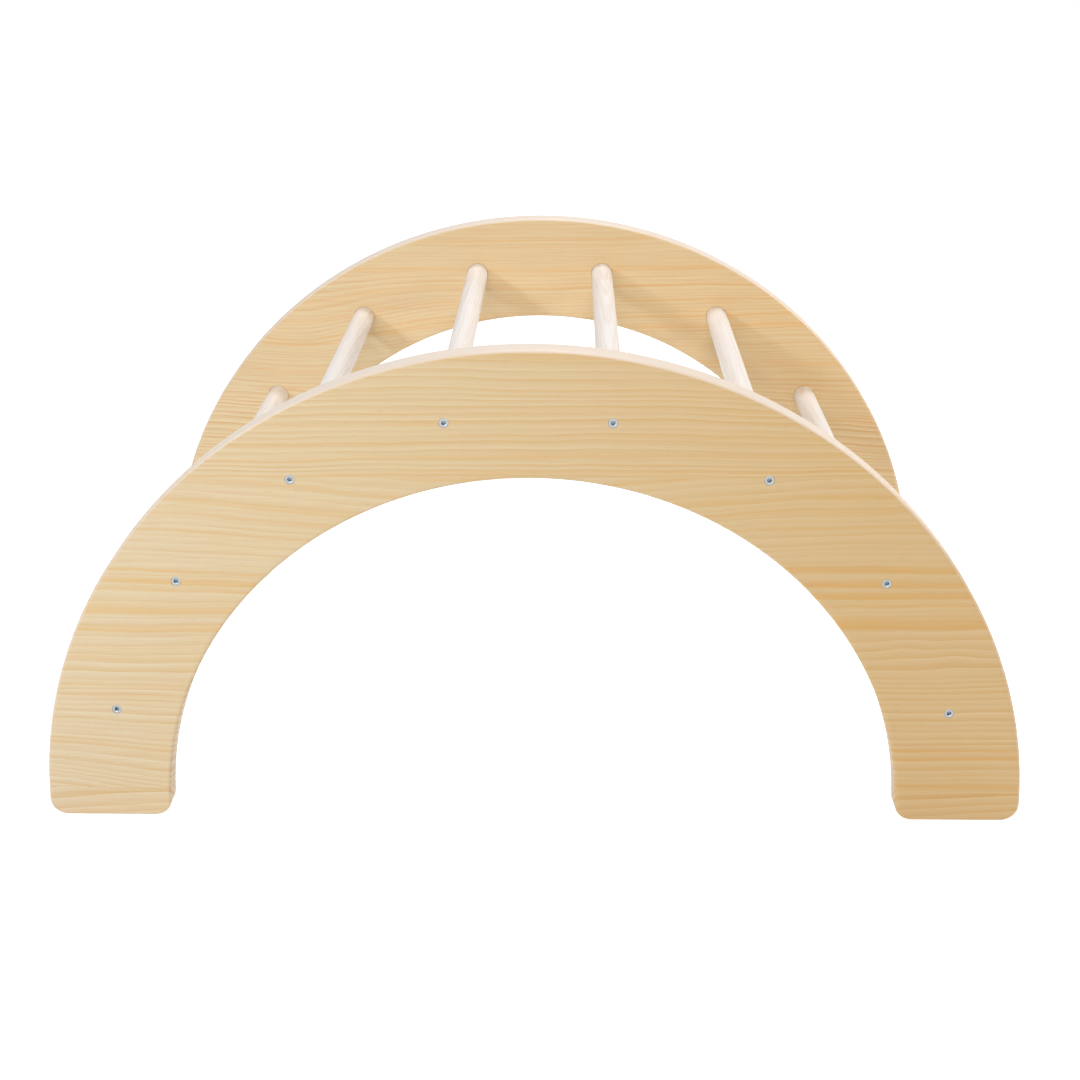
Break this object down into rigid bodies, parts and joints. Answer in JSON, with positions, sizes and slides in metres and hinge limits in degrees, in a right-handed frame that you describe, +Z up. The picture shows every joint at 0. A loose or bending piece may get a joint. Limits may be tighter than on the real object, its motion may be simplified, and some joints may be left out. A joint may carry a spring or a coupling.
{
  "type": "wooden rocker arch",
  "caption": "Wooden climbing arch for small children: half-ring pine side panels joined by round screwed rungs. Turned over, it rocks on its round edges.",
  "frame": {"origin": "on the floor, under the middle of the arch, halfway between the side panels", "axes": "+X along the arch from its left foot to its right foot, +Y from the front panel to the rear panel, +Z up"},
  "size_m": [0.9494, 0.6, 0.4749],
  "materials": {
    "panel_pine": "satin clear lacquer",
    "rung_pine": "satin clear lacquer",
    "zinc_screw": "bright zinc plate"
  },
  "bodies": {
    "root": {"front_panel": "panel_pine", "rear_panel": "panel_pine", "rung_1": "rung_pine", "rung_2": "rung_pine", "rung_3": "rung_pine", "rung_4": "rung_pine", "rung_5": "rung_pine", "rung_6": "rung_pine", "rung_7": "rung_pine", "rung_8": "rung_pine", "screw_front_1": "zinc_screw", "screw_front_2": "zinc_screw", "screw_front_3": "zinc_screw", "screw_front_4": "zinc_screw", "screw_front_5": "zinc_screw", "screw_front_6": "zinc_screw", "screw_front_7": "zinc_screw", "screw_front_8": "zinc_screw", "screw_rear_1": "zinc_screw", "screw_rear_2": "zinc_screw", "screw_rear_3": "zinc_screw", "screw_rear_4": "zinc_screw", "screw_rear_5": "zinc_screw", "screw_rear_6": "zinc_screw", "screw_rear_7": "zinc_screw", "screw_rear_8": "zinc_screw"}
  },
  "joints": []
}
